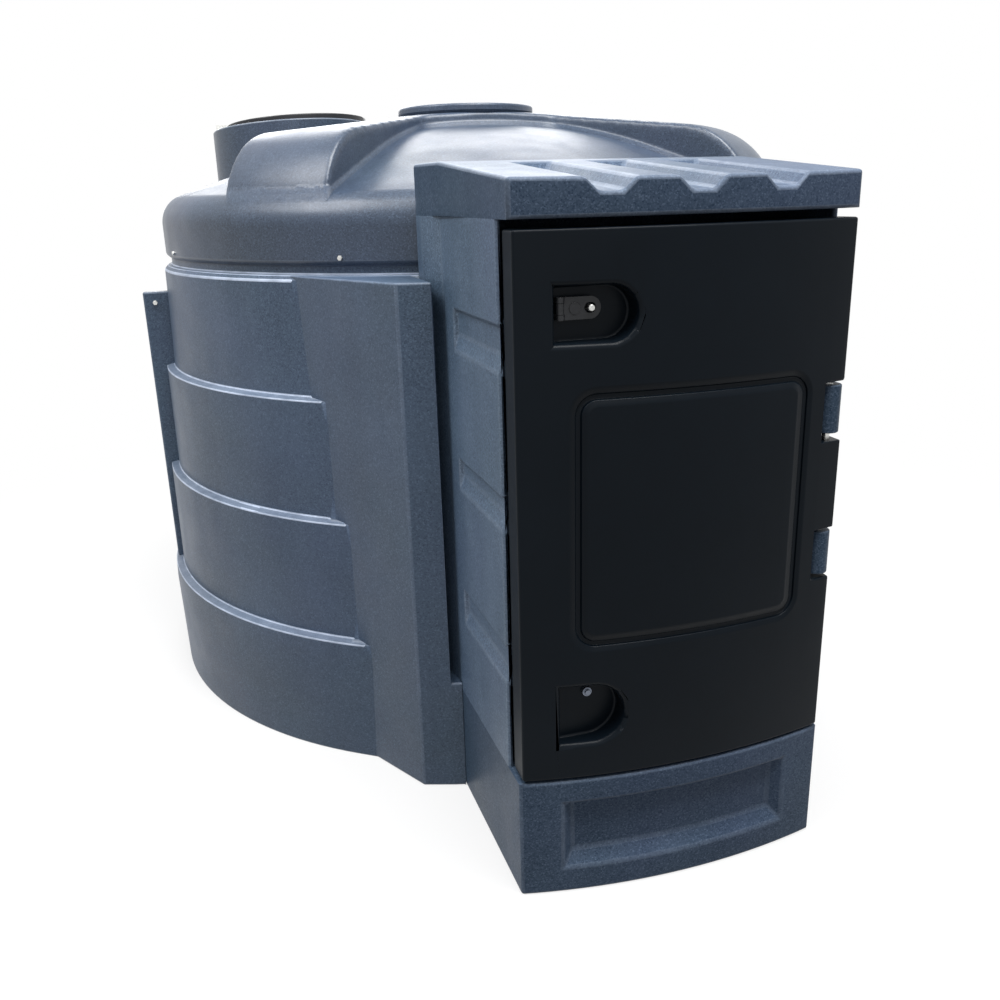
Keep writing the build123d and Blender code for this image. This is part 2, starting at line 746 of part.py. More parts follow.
# Roof: sloped, carried back level as a hood into the cut-out of the cover, with a lip down at its rear
slope = atan2(roof_fall, cabinet_reach - cabinet_rear_gap)
roof_line = (0, -cabinet_rear, roof_rear_top)
roof_plane = Plane(origin=roof_line, x_dir=(1, 0, 0), z_dir=(0, -sin(slope), cos(slope)))
channel_run = cabinet_reach + channel_end
with BuildPart(mode=Mode.PRIVATE) as roof_form:
    with BuildSketch(Plane.YZ):
        with BuildLine():
            Polyline(
                (-cabinet_rear, roof_rear_top),
                (-cabinet_rear - channel_run * cos(slope), roof_rear_top - channel_run * sin(slope)),
                (-cabinet_rear - channel_run * cos(slope), door_opening_top),
                (-hood_rear + roof_level_run, door_opening_top),
                (-hood_rear + roof_level_run, roof_rear_top),
                close=True,
            )
        make_face()
    extrude(amount=2 * hood_half_width, both=True)
with BuildPart() as cabinet_roof:
    with BuildSketch(Plane.XY.offset(door_opening_top)):
        with BuildLine():
            front_arc(cabinet_front_radius, -cabinet_half_width, cabinet_half_width)
            Polyline(*side_points(corner_y), *reversed(mirrored(side_points(corner_y))))
        make_face()
    extrude(amount=roof_rear_top - door_opening_top)
    add(roof_form.part, mode=Mode.INTERSECT)
    for step in range(channel_count):
        centre = (step - (channel_count - 1) / 2) * channel_pitch
        with BuildSketch(roof_plane.offset(-channel_depth)):
            with Locations((centre, -channel_end)):
                Rectangle(channel_width - 2 * channel_slant, channel_run, align=(Align.CENTER, Align.MAX))
        with BuildSketch(roof_plane.offset(channel_mouth_lift)):
            with Locations((centre, -channel_end + channel_end_run)):
                mouth_size = (channel_width + 2 * channel_mouth_lift, channel_run + channel_end_run)
                Rectangle(*mouth_size, align=(Align.CENTER, Align.MAX))
        loft(mode=Mode.SUBTRACT)
    with BuildSketch(Plane.XY.offset(neck_top + hood_lip_clearance)):
        with Locations((0, -hood_rear)):
            Rectangle(2 * (hood_half_width - cabinet_wall), cabinet_wall, align=(Align.CENTER, Align.MAX))
    extrude(amount=door_opening_top - neck_top - hood_lip_clearance)
save(cabinet_roof.part, "cabinet_roof")


# Door
def door_outline(radius, inset):
    """Plan of the door: bowed at the front, straight at the sides and back."""
    left = door_left + inset
    right = door_right - inset
    with BuildLine() as outline:
        front_arc(radius, left, right)
        Polyline(
            (right, -sqrt(radius**2 - right**2)),
            (right, -door_back),
            (left, -door_back),
            (left, -sqrt(radius**2 - left**2)),
        )
    return outline.edges()


def hand_outline(left, low, width, height, grow):
    """Mouth of a hand recess: square on the left, half round on the right."""
    radius = height / 2 + grow
    middle_x = left + width - height / 2
    middle_z = low + height / 2
    high_end = (middle_x, middle_z + radius)
    low_end = (middle_x, middle_z - radius)
    with BuildLine() as outline:
        Polyline(high_end, (left - grow, middle_z + radius), (left - grow, middle_z - radius), low_end)
        ThreePointArc(low_end, (middle_x + radius, middle_z), high_end)
    return outline.edges()


upper_hand = (door_left + upper_hand_margin, door_top - upper_hand_drop - upper_hand_height)
lower_hand = (door_left + lower_hand_margin, door_bottom + lower_hand_lift)
upper_size = (*upper_hand, upper_hand_width, upper_hand_height)
lower_size = (*lower_hand, lower_hand_width, lower_hand_height)
hand_sizes = (upper_size, lower_size)
hand_mouths = [hand_outline(*size, 0) for size in hand_sizes]
hand_cups = [hand_outline(*size, door_skin_thickness) for size in hand_sizes]
door_outer = door_outline(cabinet_front_radius, 0)
door_inner = door_outline(cabinet_front_radius - door_skin_thickness, door_skin_thickness)
notch_left = hinge_x - knuckle_radius - knuckle_gap
notch_low = lower_knuckle[0] - knuckle_gap
notch_high = upper_knuckle[1] + knuckle_gap
notch_width = door_right - notch_left
groove_left = door_left + groove_left_margin
groove_right = door_right - groove_right_margin
groove_low = door_bottom + groove_foot_margin
groove_high = door_top - groove_head_margin
groove_size = (groove_right - groove_left, groove_high - groove_low)
with BuildPart(mode=Mode.PRIVATE) as door_body:
    with BuildSketch(Plane.XY.offset(door_bottom)):
        make_face(door_outer)
    extrude(amount=door_top - door_bottom)
with BuildPart(mode=Mode.PRIVATE) as door_cups:
    for outline in hand_cups:
        with BuildSketch(front_plane(hand_floor - door_skin_thickness)):
            make_face(outline)
        extrude(amount=door_depth)
    with BuildSketch(Plane.XY.offset(notch_low - door_skin_thickness)):
        with Locations((notch_left - door_skin_thickness, -door_back)):
            Rectangle(notch_width + door_skin_thickness, door_depth, align=(Align.MIN, Align.MAX))
    extrude(amount=notch_high - notch_low + 2 * door_skin_thickness)
    add(door_body.part, mode=Mode.INTERSECT)
with BuildPart(mode=Mode.PRIVATE) as groove_ring:
    with BuildSketch(front_plane(door_back)):
        with Locations(((groove_left + groove_right) / 2, (groove_low + groove_high) / 2)):
            RectangleRounded(*groove_size, groove_corner)
            inner_size = [side - 2 * groove_width for side in groove_size]
            RectangleRounded(*inner_size, groove_corner - groove_width, mode=Mode.SUBTRACT)
    extrude(amount=door_depth)
    with BuildSketch(Plane.XY.offset(door_bottom)):
        Circle(cabinet_front_radius - groove_depth)
    extrude(amount=door_top - door_bottom, mode=Mode.SUBTRACT)
with BuildPart() as door_skin:
    add(door_body.part)
    with BuildSketch(Plane.XY.offset(door_bottom + door_skin_thickness)):
        make_face(door_inner)
    extrude(amount=door_top - door_bottom - 2 * door_skin_thickness, mode=Mode.SUBTRACT)
    add(door_cups.part)
    for outline in hand_mouths:
        with BuildSketch(front_plane(hand_floor)):
            make_face(outline)
        extrude(amount=door_depth, mode=Mode.SUBTRACT)
    add(groove_ring.part, mode=Mode.SUBTRACT)
    with BuildSketch(Plane.XY.offset(notch_low)):
        with Locations((notch_left, -door_back + door_seat_gap)):
            Rectangle(2 * notch_width, 2 * door_depth, align=(Align.MIN, Align.MAX))
    extrude(amount=notch_high - notch_low, mode=Mode.SUBTRACT)
save(door_skin.part, "door_skin")

# Door liner: the flat inner skin, cut away round the hinge notch
liner_inset = door_skin_thickness + door_liner_clearance
liner_width = door_right - door_left - 2 * liner_inset
with BuildPart() as door_liner:
    with BuildSketch(front_plane(door_back)):
        with Locations(((door_left + door_right) / 2, (door_bottom + door_top) / 2)):
            Rectangle(liner_width, door_top - door_bottom - 2 * liner_inset)
        with Locations((notch_left - liner_inset, (notch_low + notch_high) / 2)):
            notch_size = (notch_width + liner_inset, notch_high - notch_low + 2 * liner_inset)
            Rectangle(*notch_size, align=(Align.MIN, Align.CENTER), mode=Mode.SUBTRACT)
    extrude(amount=door_liner_thickness)
save(door_liner.part, "door_liner")

# Hinge: two knuckles on the cabinet, the door's own one between them, and the pin through all three
with BuildPart() as hinge_knuckles:
    for low, high in (lower_knuckle, upper_knuckle):
        with BuildSketch(Plane.XY.offset(low)):
            with Locations((hinge_x, hinge_y)):
                Circle(knuckle_radius)
            with Locations((hinge_x + knuckle_radius, hinge_y)):
                plate_size = (knuckle_radius + knuckle_foot, -hinge_y - cabinet_body_front)
                Rectangle(*plate_size, align=(Align.MAX, Align.MIN))
            with Locations((hinge_x, hinge_y)):
                Circle(pin_radius, mode=Mode.SUBTRACT)
        extrude(amount=high - low)
save(hinge_knuckles.part, "hinge_knuckles")
with BuildPart() as hinge_pin:
    with BuildSketch(Plane.XY.offset(lower_knuckle[0])):
        with Locations((hinge_x, hinge_y)):
            Circle(pin_radius)
    extrude(amount=upper_knuckle[1] - lower_knuckle[0])
save(hinge_pin.part, "hinge_pin")
with BuildPart() as door_knuckle:
    with BuildSketch(Plane.XY.offset(door_knuckle_low)):
        make_face(door_outer)
        with Locations((notch_left, hinge_y + knuckle_radius)):
            Rectangle(notch_width, door_depth, align=(Align.MIN, Align.MAX), mode=Mode.INTERSECT)
        with Locations((hinge_x, hinge_y)):
            Circle(pin_radius + pin_clearance, mode=Mode.SUBTRACT)
    extrude(amount=door_knuckle_length)
save(door_knuckle.part, "door_knuckle")

# Latch flap, round at its free end, with a slot over the staple and a low round boss
flap_left = upper_hand[0] + flap_margin
flap_low = upper_hand[1] + flap_lift
flap_high = flap_low + flap_height
flap_axis_x = flap_left + flap_axis_inset
flap_face = hand_floor + flap_standoff
flap_axis_y = -flap_face - flap_thickness / 2
staple_x = flap_left + flap_width - flap_height / 2
staple_z = flap_low + flap_height / 2
flap_clearance = flap_hinge_length + flap_hinge_gap
with BuildPart() as latch_flap:
    with BuildSketch(front_plane(flap_face)):
        with Locations((flap_axis_x, flap_low)):
            Rectangle(staple_x - flap_axis_x, flap_height, align=(Align.MIN, Align.MIN))
        with Locations((staple_x, staple_z)):
            slot_radius = staple_radius + staple_clearance
            Circle(flap_height / 2)
            SlotOverall(2 * (staple_radius + staple_slot_play), 2 * slot_radius, mode=Mode.SUBTRACT)
    extrude(amount=flap_thickness)
    with BuildSketch(front_plane(flap_face + flap_thickness)):
        with Locations((flap_left + flap_width - flap_boss_inset, staple_z)):
            Circle(flap_boss_radius)
    extrude(amount=flap_boss_rise)
    with BuildSketch(Plane.XY.offset(flap_low)):
        with Locations((flap_axis_x, flap_axis_y)):
            Circle(flap_hinge_radius)
    extrude(amount=flap_height)
    for low in (flap_low, flap_high - flap_clearance):
        with BuildSketch(Plane.XY.offset(low)):
            with Locations((flap_axis_x, flap_axis_y)):
                Circle(flap_hinge_radius + flap_hinge_gap)
        extrude(amount=flap_clearance, mode=Mode.SUBTRACT)
    with BuildSketch(Plane.XY.offset(flap_low)):
        with Locations((flap_axis_x, flap_axis_y)):
            Circle(flap_pin_radius + flap_pin_clearance)
    extrude(amount=flap_height, mode=Mode.SUBTRACT)
save(latch_flap.part, "latch_flap")

# Latch hinge: two barrels on a foot against the recess floor, and their pin
with BuildPart() as latch_hinge:
    for low in (flap_low, flap_high - flap_hinge_length):
        with BuildSketch(Plane.XY.offset(low)):
            with Locations((flap_axis_x, flap_axis_y)):
                Circle(flap_hinge_radius)
                Rectangle(2 * flap_hinge_radius, -flap_axis_y - hand_floor, align=(Align.CENTER, Align.MIN))
        extrude(amount=flap_hinge_length)
    with BuildSketch(Plane.XY.offset(flap_low)):
        with Locations((flap_axis_x, flap_axis_y)):
            Circle(flap_pin_radius)
    extrude(amount=flap_height)
save(latch_hinge.part, "latch_hinge")
with BuildPart() as latch_staple:
    with BuildSketch(front_plane(hand_floor)):
        with Locations((staple_x, staple_z)):
            Circle(staple_radius)
    extrude(amount=staple_length)
    chamfer(latch_staple.edges().group_by(Axis.Y)[0], staple_tip)
save(latch_staple.part, "latch_staple")

# Flanged bolt in the lower hand recess
with BuildPart() as lower_bolt:
    with BuildSketch(front_plane(hand_floor)):
        with Locations((staple_x, lower_hand[1] + lower_bolt_rise)):
            Circle(lower_bolt_radius)
    extrude(amount=lower_bolt_flange)
    with BuildSketch(front_plane(hand_floor + lower_bolt_flange)):
        with Locations((staple_x, lower_hand[1] + lower_bolt_rise)):
            RegularPolygon(lower_bolt_head_radius, 6)
    extrude(amount=lower_bolt_head)
save(lower_bolt.part, "lower_bolt")

# Bolts round the lower edge of the skirt, clear of the hood
with BuildPart() as cover_bolts:
    for step in range(skirt_bolt_count):
        azimuth = 90 + skirt_bolt_span * (step / (skirt_bolt_count - 1) - 1 / 2)
        a = radians(azimuth)
        bolt_centre = (skirt_radius * cos(a), skirt_radius * sin(a), skirt_bottom + skirt_bolt_lift)
        with BuildSketch(Plane(origin=bolt_centre, x_dir=(-sin(a), cos(a), 0), z_dir=(cos(a), sin(a), 0))):
            RegularPolygon(skirt_bolt_radius, 6)
        extrude(amount=skirt_bolt_length)
save(cover_bolts.part, "cover_bolts")
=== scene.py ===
import bpy
import math
from mathutils import Matrix, Vector
from mathutils.bvhtree import BVHTree


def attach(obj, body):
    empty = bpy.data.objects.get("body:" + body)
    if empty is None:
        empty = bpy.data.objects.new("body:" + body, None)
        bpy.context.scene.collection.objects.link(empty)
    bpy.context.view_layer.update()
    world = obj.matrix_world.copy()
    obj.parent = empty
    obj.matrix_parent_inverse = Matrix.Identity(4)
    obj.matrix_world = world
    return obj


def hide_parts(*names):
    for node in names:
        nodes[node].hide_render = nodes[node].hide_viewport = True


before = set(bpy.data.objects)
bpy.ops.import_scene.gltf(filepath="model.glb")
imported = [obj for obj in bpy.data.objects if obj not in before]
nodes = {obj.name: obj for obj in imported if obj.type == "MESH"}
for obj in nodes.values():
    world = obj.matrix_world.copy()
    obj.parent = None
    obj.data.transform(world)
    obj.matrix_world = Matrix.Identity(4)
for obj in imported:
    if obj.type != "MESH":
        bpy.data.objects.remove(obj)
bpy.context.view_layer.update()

# Tank floor: the round bottom of the inner tank, moulded in the same plastic as the wall. It is
# polyethylene coloured right through: blue-grey, full of fine light and dark grains, faintly rippled.


class Wire:
    """A shader socket that is added, multiplied and passed on like a number."""

    tree = None

    def __init__(self, socket):
        self.socket = socket

    @classmethod
    def node(cls, kind, inputs=None, output=0, stops=None, **settings):
        made = cls.tree.nodes.new(kind)
        for key, value in settings.items():
            setattr(made, key, value)
        if stops:
            ramp = made.color_ramp.elements
            while len(ramp) < len(stops):
                ramp.new(0.5)
            for element, (place, shade) in zip(ramp, stops):
                element.position = place
                element.color = (shade, shade, shade, 1)
        for key, value in (inputs or {}).items():
            if isinstance(value, Wire):
                cls.tree.links.new(value.socket, made.inputs[key])
            else:
                made.inputs[key].default_value = value
        return cls(made.outputs[output])

    def __add__(self, other):
        return reckoned("ADD", self, other)

    def __radd__(self, other):
        return reckoned("ADD", other, self)

    def __sub__(self, other):
        return reckoned("SUBTRACT", self, other)

    def __rsub__(self, other):
        return reckoned("SUBTRACT", other, self)

    def __mul__(self, other):
        return reckoned("MULTIPLY", self, other)

    def __rmul__(self, other):
        return reckoned("MULTIPLY", other, self)


def reckoned(operation, *values):
    """The result of one sum on wires and numbers."""
    return Wire.node("ShaderNodeMath", dict(enumerate(values)), operation=operation)


def new_material(name, base, rough, metal=0.0, gloss=0.5):
    """An empty material with its shader, ready for wires to be led to it."""
    material = bpy.data.materials.new(name)
    material.use_nodes = True
    Wire.tree = material.node_tree
    shader = material.node_tree.nodes["Principled BSDF"]
    shader.inputs["Base Color"].default_value = (*base, 1)
    shader.inputs["Roughness"].default_value = rough
    shader.inputs["Metallic"].default_value = metal
    shader.inputs["Specular IOR Level"].default_value = gloss
    return material, shader


def lead(wire, shader, name):
    """Lead a wire to one of the shader's own sockets."""
    Wire.tree.links.new(wire.socket, shader.inputs[name])


def place_on_object():
    return Wire.node("ShaderNodeTexCoord", output=3)


def stretched(place, size):
    return Wire.node("ShaderNodeMapping", {"Vector": place, "Scale": size})


def noise(place, scale, detail=2.0):
    """Soft noise about a half, at a number of waves to the metre."""
    return Wire.node("ShaderNodeTexNoise", {"Vector": place, "Scale": scale, "Detail": detail})


def tinted(factor, dark, light):
    """A colour between two others."""
    ends = {0: factor}
    for socket, colour in ((6, dark), (7, light)):
        ends[socket] = colour if isinstance(colour, Wire) else (*colour, 1)
    return Wire.node("ShaderNodeMix", ends, output=2, data_type="RGBA")


def between(factor, low, high):
    """A number that runs from low to high while the factor runs from nought to one."""
    return factor * (high - low) + low


def bumped(height, strength, distance, under=None):
    """A relief of a height in metres, on top of another where one is given."""
    inputs = {"Strength": strength, "Distance": distance, "Height": height}
    if under:
        inputs["Normal"] = under
    return Wire.node("ShaderNodeBump", inputs)


grain_scale = 330.0
fine_scale = 170.0
mottle_scale = 3.2
bloom_scale = 2.1
highlight_breakup_scale = 16.0
gloss_scale = 12.0
dull_swing = 0.08
pore_scale = 260.0
pore_depth = 0.0005
sag_scale = 4.5
sag_depth = 0.010
streak_stretch = (9.0, 9.0, 0.9)
grain_steps = [(0.0, 0.0), (0.22, 0.30), (0.80, 0.46), (1.0, 1.0)]
violet_cast = (0.78, 0.66, 0.92)
bloom_share = 0.26
parting_half_height = 0.0012
parting_depth = 0.0010


def speckled_plastic(name, ground, grain, rubbed, rough, gloss, parting=None):
    """Moulded plastic with grains and streaks, a painted highlight on its rounded edges, and a parting
    line where it has one.
    """
    material, shader = new_material(name, ground, rough, gloss=gloss)
    place = place_on_object()
    grains = Wire.node("ShaderNodeTexVoronoi", {"Vector": place, "Scale": grain_scale}, output=1)
    grains = Wire.node("ShaderNodeSeparateColor", {0: grains})
    sharp = Wire.node("ShaderNodeValToRGB", {0: grains}, stops=grain_steps)
    fine = noise(place, fine_scale)
    mottle = noise(place, mottle_scale, 4.0)
    streak = noise(stretched(place, streak_stretch), 1.0, 3.0)
    shade = sharp * 0.80 + fine * 0.70 + mottle * 0.50 + streak * 0.30 - 0.64
    colour = tinted(shade, ground, grain)
    bloom = between(noise(place, bloom_scale, 3.0), -0.85, 1.55)
    violet = tuple(part * cast for part, cast in zip(grain, violet_cast))
    colour = tinted(bloom * bloom_share, colour, violet)
    # Painted highlight: the rounded edges are painted towards a paler colour, in patches broken up by
    # noise.
    highlight_mask = Wire.node("ShaderNodeAttribute", output=2, attribute_name="edge")
    highlight_breakup = between(noise(place, highlight_breakup_scale, 5.0), 0.05, 1.35)
    colour = tinted(highlight_mask * highlight_breakup, colour, rubbed)
    lead(colour, shader, "Base Color")
    dullness = between(noise(place, gloss_scale, 3.0), rough - dull_swing, rough + dull_swing)
    lead(dullness, shader, "Roughness")
    relief = bumped(noise(place, pore_scale), 0.30, pore_depth)
    relief = bumped(noise(place, sag_scale, 1.0), 0.50, sag_depth, relief)
    if parting:
        height = Wire.node("ShaderNodeSeparateXYZ", {0: place}, output=2)
        line = reckoned("COMPARE", height, parting, parting_half_height)
        relief = bumped(line, 0.5, parting_depth, relief)
    lead(relief, shader, "Normal")
    return material


def paint(label, material):
    """Give a piece of the frame its material."""
    nodes[label].data.materials.clear()
    nodes[label].data.materials.append(material)


parting_height = 0.306
tank_plastic = speckled_plastic(
    "tank_plastic", (0.014, 0.031, 0.056), (0.098, 0.146, 0.212), (0.46, 0.53, 0.66), 0.42, 0.40,
    parting=parting_height,
)
paint("tank_floor", tank_plastic)

# Tank wall: one seamless moulding in polyethylene, in four tiers with sloped ledges between them. Its
# quarters are joined again here, and every free edge is rounded as the mould rounds it.
touching = 0.0025
seam = 0.0002
trees = {}
for label, node in nodes.items():
    corners = [vertex.co.copy() for vertex in node.data.vertices]
    faces = [tuple(face.vertices) for face in node.data.polygons]
    trees[label] = BVHTree.FromPolygons(corners, faces)


def free_of_others(point, own):
    """True where no other piece lies against this point, so that its edge may be rounded."""
    for label, tree in trees.items():
        if label not in own and tree.find_nearest(point, touching)[0] is not None:
            return False
    return True


def take_copy(labels, name):
    """A merged copy of one or more pieces of the frame, in a mesh of its own."""
    bpy.ops.object.select_all(action="DESELECT")
    copies = []
    for label in labels:
        copy = bpy.data.objects.new(name, nodes[label].data.copy())
        bpy.context.scene.collection.objects.link(copy)
        copy.select_set(True)
        copies.append(copy)
    bpy.context.view_layer.objects.active = copies[0]
    if len(copies) > 1:
        bpy.ops.object.join()
    piece = bpy.context.view_layer.objects.active
    piece.data.materials.clear()
    return piece


weld = 0.00004
flatness = math.radians(0.25)
smooth_below = math.radians(35.0)
wide_face_weight = 60
bevel_rounds = 3


def merge():
    """Close the loose triangles of the active copy into one skin with whole faces."""
    bpy.ops.object.mode_set(mode="EDIT")
    bpy.ops.mesh.select_mode(type="EDGE")
    bpy.ops.mesh.select_all(action="SELECT")
    bpy.ops.mesh.remove_doubles(threshold=weld)
    bpy.ops.mesh.dissolve_limited(angle_limit=flatness)
    bpy.ops.mesh.select_all(action="DESELECT")
    bpy.ops.object.mode_set(mode="OBJECT")


def even_out(piece):
    """Smooth shading that leaves wide faces flat up to their rounded edges."""
    bpy.ops.object.shade_smooth_by_angle(angle=smooth_below)
    flats = piece.modifiers.new("flats", "WEIGHTED_NORMAL")
    flats.keep_sharp = True
    flats.weight = wide_face_weight
    bpy.ops.object.modifier_apply(modifier="flats")


def soften(piece, labels, radius, sharpness, rub=0.10, places=()):
    """Round the free sharp edges of a copy, by place where places are given, and mark them for a painted
    highlight.
    """
    mesh = piece.data
    bpy.ops.object.mode_set(mode="EDIT")
    bpy.ops.mesh.edges_select_sharp(sharpness=math.radians(sharpness))
    bpy.ops.object.mode_set(mode="OBJECT")
    widest = max([radius] + [place[2] for place in places])
    weight = mesh.attributes.new("bevel_weight_edge", "FLOAT", "EDGE")
    for edge in mesh.edges:
        middle = (mesh.vertices[edge.vertices[0]].co + mesh.vertices[edge.vertices[1]].co) / 2
        if edge.select and free_of_others(middle, labels):
            here = radius
            for low, high, own in places:
                if all(a <= c <= b for a, c, b in zip(low, middle, high)):
                    here = own
            weight.data[edge.index].value = here / widest
    rounding = piece.modifiers.new("rounding", "BEVEL")
    rounding.limit_method = "WEIGHT"
    rounding.width = widest
    rounding.segments = bevel_rounds
    rounding.material = 1
    rounding.use_clamp_overlap = False
    mesh.materials.append(None)
    mesh.materials.append(None)
    bpy.ops.object.modifier_apply(modifier="rounding")
    rubbed = mesh.attributes.new("edge", "FLOAT", "FACE")
    for face in mesh.polygons:
        rubbed.data[face.index].value = rub * float(face.material_index == 1)
        face.material_index = 0
    mesh.materials.clear()


def finish_as(piece, name, material, body, labels):
    """Name a piece, give it its material, and let it stand for its pieces of the frame."""
    piece.name = name
    piece.data.name = name
    piece.data.materials.append(material)
    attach(piece, body)
    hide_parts(*labels)


quarters = ["wall_rear_right", "wall_rear_left", "wall_front_left", "wall_front_right"]
ledge_bands = ((0.355, 0.372), (0.705, 0.722), (1.042, 1.060), (1.355, 1.405))
# Painted highlight on the wall's rounded edges: strongest on the ledges, weaker elsewhere, and a painted
# paler top on each ledge for the light from above.
ledge_rub = 1.15
ledge_top_rub = 0.30
flat_enough = 0.9
wall_rub = 0.25
tank_wall = take_copy(quarters, "tank_wall")
bpy.ops.object.mode_set(mode="EDIT")
bpy.ops.mesh.select_mode(type="FACE")
bpy.ops.mesh.select_all(action="DESELECT")
bpy.ops.object.mode_set(mode="OBJECT")
for face in tank_wall.data.polygons:
    corners = [tank_wall.data.vertices[index].co for index in face.vertices]
    across_x = all(abs(corner.x) < seam for corner in corners)
    across_y = all(abs(corner.y) < seam for corner in corners)
    face.select = across_x or across_y
bpy.ops.object.mode_set(mode="EDIT")
bpy.ops.mesh.delete(type="FACE")
bpy.ops.object.mode_set(mode="OBJECT")
merge()
soften(tank_wall, quarters, 0.0045, 20.0, rub=1.0)
# The ledges' rounded edges and flat tops get a painted highlight; the wall's other rounded edges get a
# weaker one.
for face in tank_wall.data.polygons:
    on_ledge = any(low < face.center.z < high for low, high in ledge_bands)
    mark = tank_wall.data.attributes["edge"].data[face.index]
    mark.value = mark.value * (ledge_rub if on_ledge else wall_rub)
    if on_ledge and abs(face.normal.z) > flat_enough:
        mark.value = ledge_top_rub
even_out(tank_wall)
finish_as(tank_wall, "tank_wall", tank_plastic, "root", quarters)

# Wings: hollow upright boxes with flat faces, in the plastic of the tank wall. They are moulded in one
# with it and lead it forward to the cabinet.


def moulding(name, labels, radius, material, slot, body="root", sharpness=25.0, **finish):
    """A softened copy that stands for pieces of the frame, in its plastic, its rounded edges marked for
    a painted highlight.
    """
    piece = take_copy(labels, name)
    merge()
    soften(piece, labels, radius, sharpness, **finish)
    even_out(piece)
    finish_as(piece, name, material, body, labels)
    return piece


for side in ("left", "right"):
    moulding("wing_moulding_" + side, ["wing_" + side], 0.006, tank_plastic, "tank_plastic", rub=0.14)

# Side ribs: flat upright fins in the plastic of the tank wall, where the front and rear halves of the
# mould met. Each has one bolt near its top.
for side in ("left", "right"):
    moulding("rib_moulding_" + side, ["side_rib_" + side], 0.005, tank_plastic, "tank_plastic")

# Dome and skirt of the cover: one moulding in the same speckled plastic, darker than the wall and with
# more sheen. Its skirt hangs over the neck of the tank and is bolted to it all round.
cover_plastic = speckled_plastic(
    "cover_plastic", (0.008, 0.018, 0.035), (0.066, 0.097, 0.145), (0.40, 0.46, 0.56), 0.36, 0.52
)
moulding("dome_moulding", ["cover_dome"], 0.004, cover_plastic, "cover_plastic", rub=0.15)

# Arms of the cover: two broad raised ridges that cross at the manhole, moulded with the dome. Their
# edges are well rounded, they grow out of the dome, and their feet sink into the skirt.
arm_turn = math.radians(56.1)
arm_root = 0.034
arm_touch = 0.006
arm_blend = 0.022
foot_blend = 0.060
foot_top = 1.60
arm_grain = 0.0075
arm_rounds = 34
arm_step = 0.5
foot_end = 1.545
foot_ring = 1.565
arms = take_copy(["cover_ridge"], "ridge_moulding")
bpy.ops.object.mode_set(mode="EDIT")
bpy.ops.mesh.select_all(action="SELECT")
bpy.ops.mesh.remove_doubles(threshold=weld)
bpy.ops.mesh.customdata_custom_splitnormals_clear()
bpy.ops.mesh.bisect(plane_co=(0, 0, foot_ring), plane_no=(0, 0, 1))
bpy.ops.mesh.select_all(action="DESELECT")
bpy.ops.object.mode_set(mode="OBJECT")
for vertex in arms.data.vertices:
    apart = trees["cover_dome"].find_nearest(vertex.co)[3]
    if vertex.co.z < foot_end:
        side = math.copysign(1.0, vertex.co.x)
        vertex.co.x -= side * math.cos(arm_turn) * arm_root
        vertex.co.y += math.sin(arm_turn) * arm_root
    elif apart < arm_touch:
        vertex.co.z -= arm_root
arms.data.remesh_voxel_size = arm_grain
arms.data.use_remesh_fix_poles = False
bpy.ops.object.voxel_remesh()
softening = arms.modifiers.new("softening", "SMOOTH")
softening.factor = arm_step
softening.iterations = arm_rounds
bpy.ops.object.modifier_apply(modifier="softening")
bpy.ops.object.shade_smooth()
blended = []
for vertex in arms.data.vertices:
    _, facing, _, apart = trees["cover_dome"].find_nearest(vertex.co)
    reach = foot_blend if vertex.co.z < foot_top else arm_blend
    share = max(0.0, 1.0 - apart / reach)
    blended.append(vertex.normal.lerp(facing, share * share * (3.0 - 2.0 * share)).normalized())
arms.data.normals_split_custom_set_from_vertices(blended)
finish_as(arms, "ridge_moulding", cover_plastic, "root", ["cover_ridge"])

# Manhole: a low round platform where the arms cross, moulded with the cover. A flat cap in the same
# plastic is screwed down on it.
boss_foot = 1.827
boss_root = 0.012
boss_taper = 0.95
boss_axis = Vector((-0.018, -0.016, 0))
boss = take_copy(["manhole_boss"], "boss_moulding")
for vertex in boss.data.vertices:
    if vertex.co.z < boss_foot:
        spread = (vertex.co - boss_axis) * boss_taper + boss_axis
        vertex.co = (spread.x, spread.y, vertex.co.z - boss_root)
merge()
even_out(boss)
finish_as(boss, "boss_moulding", cover_plastic, "root", ["manhole_boss"])
cap = take_copy(["manhole_cap"], "manhole_cap_moulding")
merge()
even_out(cap)
finish_as(cap, "manhole_cap_moulding", cover_plastic, "root", ["manhole_cap"])

# Fill turret: a round wall moulded on the dome, around the filling well. Its lid is a flat disc in black
# plastic, which turns on a small knuckle at the side of the turret.
moulding("turret_moulding", ["fill_turret"], 0.005, cover_plastic, "cover_plastic", rub=0.3)
black_plastic, shader = new_material("lid_plastic", (0.012, 0.013, 0.016), 0.38, gloss=0.3)
place = place_on_object()
cloudy = tinted(noise(place, 30.0, 3.0), (0.006, 0.007, 0.009), (0.018, 0.019, 0.023))
lead(cloudy, shader, "Base Color")
lead(between(noise(place, 40.0, 3.0), 0.28, 0.48), shader, "Roughness")
lead(bumped(noise(place, 400.0), 0.3, 0.0004), shader, "Normal")
moulding("lid_moulding", ["fill_lid"], 0.004, black_plastic, "lid_plastic", body="fill_lid")
moulding(
    "lid_knuckle_moulding", ["fill_lid_knuckle"], 0.0006, black_plastic, "lid_plastic", body="fill_lid"
)

